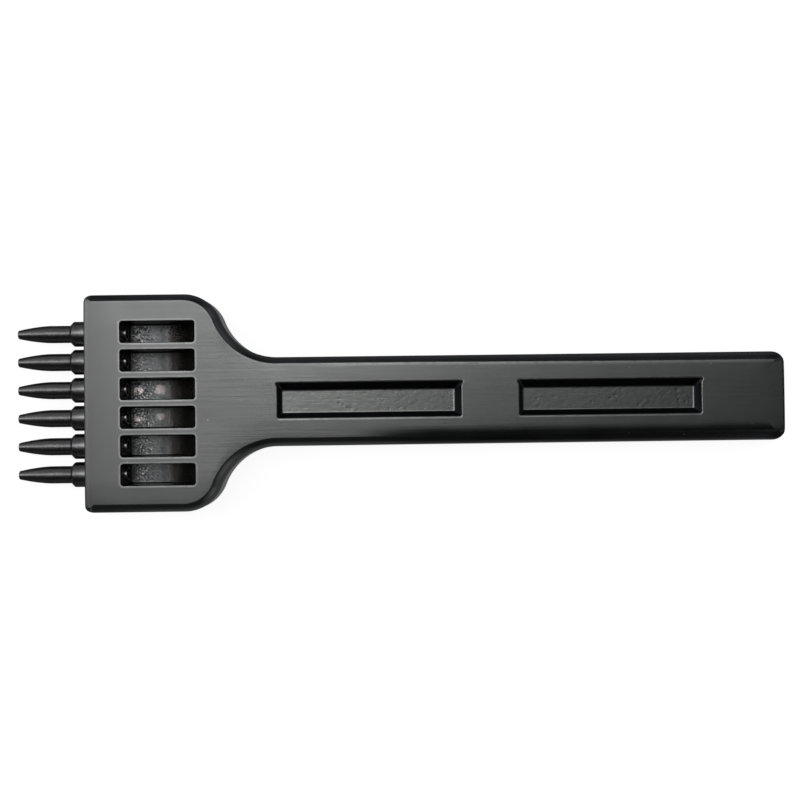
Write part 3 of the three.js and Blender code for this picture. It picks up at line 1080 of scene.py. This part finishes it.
def pale_floor():
    """White with faint soft shadows to the camera, and dark where the tool mirrors it."""
    material, nodes, shader, place = new_material("pale_floor")
    tone = nodes.mix(nodes.noise(place, 0.02, 3.0), FLOOR_DARK, FLOOR_PALE)
    plug(
        nodes,
        shader,
        Base_Color=tone,
        Roughness=0.9,
        Specular_IOR_Level=0.0,
        Emission_Color=(1, 1, 1, 1),
        Emission_Strength=FLOOR_GLOW,
    )
    along = nodes.add("ShaderNodeSeparateXYZ", {0: place}).outputs["X"]
    strength = nodes.band(along, *FLOOR_CHANGE, FLOOR_BY_TEETH, FLOOR_MIRRORED)
    mirrored = nodes.add("ShaderNodeEmission", {"Color": (1, 1, 1, 1), "Strength": strength})
    seen = nodes.add("ShaderNodeLightPath").outputs["Is Camera Ray"]
    links = {0: seen, 1: mirrored.outputs[0], 2: shader.outputs[0]}
    both = nodes.add("ShaderNodeMixShader", links)
    nodes.tree.links.new(both.outputs[0], material.node_tree.nodes["Material Output"].inputs["Surface"])
    return material


def add_floor():
    mesh = bmesh.new()
    bmesh.ops.create_grid(mesh, x_segments=4, y_segments=4, size=FLOOR_SIZE)
    data = bpy.data.meshes.new("floor")
    mesh.to_mesh(data)
    mesh.free()
    floor = bpy.data.objects.new("floor", data)
    floor.location.z = -FLOOR_DROP
    data.materials.append(pale_floor())
    bpy.context.scene.collection.objects.link(floor)


# Brightness of the studio round the tool, by the tangent of a direction's lean from straight up
LIGHT_ALONG = (
    (-9.0, 0.5), (-3.0, 0.7), (-1.3, 1.6), (-0.6, 0.8), (-0.35, 0.68), (-0.2, 2.0), (-0.1, 2.4),
    (-0.03, 0.6), (0.03, 0.23), (0.08, 0.28), (0.14, 0.57), (0.22, 0.43), (0.35, 0.09), (0.6, 0.03),
    (1.2, 0.03), (3.0, 0.4), (9.0, 0.4),
)
LIGHT_ACROSS = (
    (-9.0, 0.1), (-4.0, 0.08), (-2.0, 0.04), (-0.6, 0.035), (-0.36, 0.1), (-0.23, 0.17),
    (-0.14, 0.28), (-0.05, 0.6), (0.05, 0.95), (0.15, 2.0), (0.3, 1.3), (0.58, 0.5), (1.0, 0.38),
    (1.73, 0.24), (9.0, 0.2),
)
FILL_STRENGTH = 1.0
FILL_BEYOND = (0.1, 0.35)  # the fill lights come in as a direction turns this far towards the handle's end
FILL_RISE = (0.05, 0.22)  # and lifts this far from level,
FILL_FALL = (0.4, 0.65)  # and fade again from here on
SKY_LEVEL = 0.96  # the plain pale backdrop that the camera sees


def fill_lights(nodes, x, y, z):
    """Low lights in the two corners of the studio beyond the handle."""
    level_part = nodes.math("ADD", nodes.math("MULTIPLY", x, x), nodes.math("MULTIPLY", y, y))
    corner = nodes.math("DIVIDE", nodes.math("MULTIPLY", x, y), nodes.math("MAXIMUM", level_part, 0.001))
    corner = nodes.math("POWER", nodes.math("ABSOLUTE", nodes.math("MULTIPLY", corner, 2.0)), 8.0)
    rise = nodes.band(z, *FILL_RISE)
    fall = nodes.band(z, *FILL_FALL, FILL_STRENGTH, 0.0)
    return nodes.product(corner, nodes.band(x, *FILL_BEYOND), rise, fall)


def add_world():
    """A large soft light over the teeth and beyond the tool, fading along the handle, and the fill lights."""
    world = bpy.data.worlds.new("studio")
    world.use_nodes = True
    nodes = Nodes(world.node_tree)
    direction = nodes.add("ShaderNodeTexCoord").outputs["Generated"]
    x, y, z = nodes.add("ShaderNodeSeparateXYZ", {0: direction}).outputs
    up = nodes.math("MAXIMUM", z, 0.02)

    def squeezed(component):
        return nodes.math("DIVIDE", component, nodes.math("ADD", nodes.math("ABSOLUTE", component), up))

    along = nodes.curve(squeezed(x), LIGHT_ALONG)
    across = nodes.curve(squeezed(y), LIGHT_ACROSS)
    light = nodes.math("ADD", nodes.math("MULTIPLY", along, across), fill_lights(nodes, x, y, z))
    seen = nodes.add("ShaderNodeLightPath").outputs["Is Camera Ray"]
    shown = nodes.mix(seen, light, (SKY_LEVEL, SKY_LEVEL, SKY_LEVEL, 1))
    background = world.node_tree.nodes["Background"]
    nodes.tree.links.new(shown, background.inputs["Color"])
    bpy.context.scene.world = world


add_camera()
add_floor()
add_world()
bpy.context.scene.view_settings.view_transform = "Standard"
